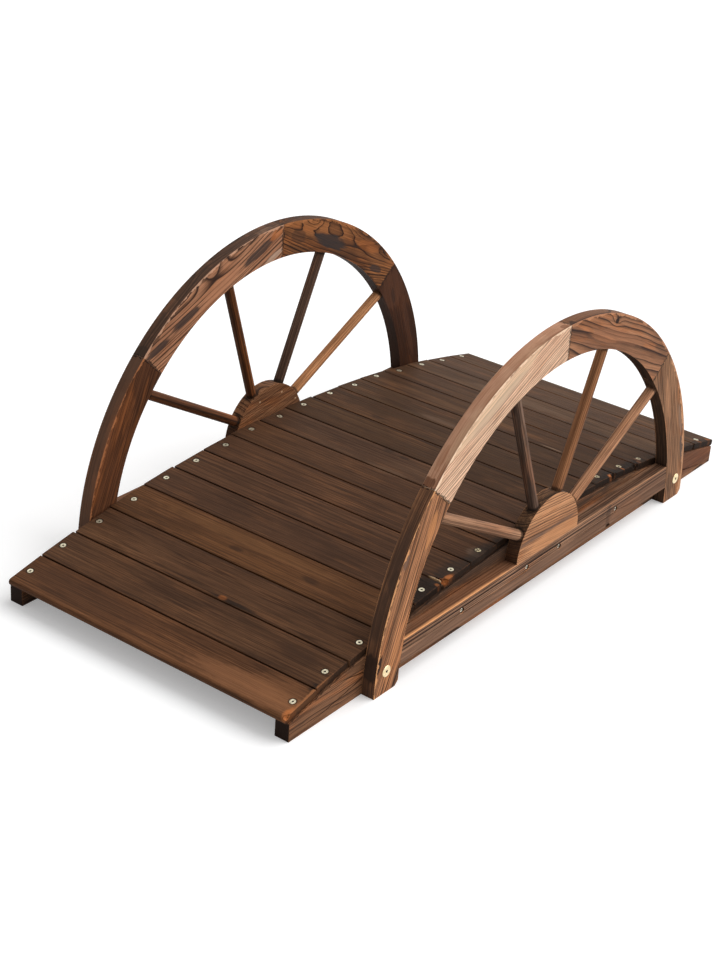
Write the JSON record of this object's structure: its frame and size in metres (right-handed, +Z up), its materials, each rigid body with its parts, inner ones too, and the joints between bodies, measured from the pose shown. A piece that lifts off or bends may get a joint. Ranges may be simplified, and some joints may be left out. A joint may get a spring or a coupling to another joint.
{
  "type": "garden bridge",
  "caption": "Low arched wooden garden bridge with crosswise deck boards on two side beams and half wheel railings with spokes, hubs and bottom rails.",
  "frame": {"origin": "middle of the footprint, on the floor that the side beams and wheel feet stand on", "axes": "+X along the walk towards the far end of the picture, +Y across the walk towards the railing at the picture's left, +Z up"},
  "size_m": [1.5154, 0.7316, 0.5597],
  "materials": {
    "deck_wood": "charred and oiled softwood, satin",
    "beam_wood": "charred and oiled softwood, satin",
    "wheel_wood": "charred and brushed softwood, satin",
    "spoke_wood": "charred softwood dowel, satin",
    "screw_brass": "yellow plated steel, satin"
  },
  "bodies": {
    "root": {"deck_board_01": "deck_wood", "deck_board_02": "deck_wood", "deck_board_03": "deck_wood", "deck_board_04": "deck_wood", "deck_board_05": "deck_wood", "deck_board_06": "deck_wood", "deck_board_07": "deck_wood", "deck_board_08": "deck_wood", "deck_board_09": "deck_wood", "deck_board_10": "deck_wood", "deck_board_11": "deck_wood", "deck_board_12": "deck_wood", "deck_board_13": "deck_wood", "deck_board_14": "deck_wood", "deck_board_15": "deck_wood", "deck_board_16": "deck_wood", "deck_board_17": "deck_wood", "side_beam_right": "beam_wood", "bottom_rail_right": "beam_wood", "wheel_hub_right": "wheel_wood", "felloe_right_1": "wheel_wood", "spoke_right_1": "spoke_wood", "felloe_right_2": "wheel_wood", "spoke_right_2": "spoke_wood", "felloe_right_3": "wheel_wood", "spoke_right_3": "spoke_wood", "felloe_right_4": "wheel_wood", "spoke_right_4": "spoke_wood", "side_beam_left": "beam_wood", "bottom_rail_left": "beam_wood", "wheel_hub_left": "wheel_wood", "felloe_left_1": "wheel_wood", "spoke_left_1": "spoke_wood", "felloe_left_2": "wheel_wood", "spoke_left_2": "spoke_wood", "felloe_left_3": "wheel_wood", "spoke_left_3": "spoke_wood", "felloe_left_4": "wheel_wood", "spoke_left_4": "spoke_wood"}
  },
  "joints": []
}
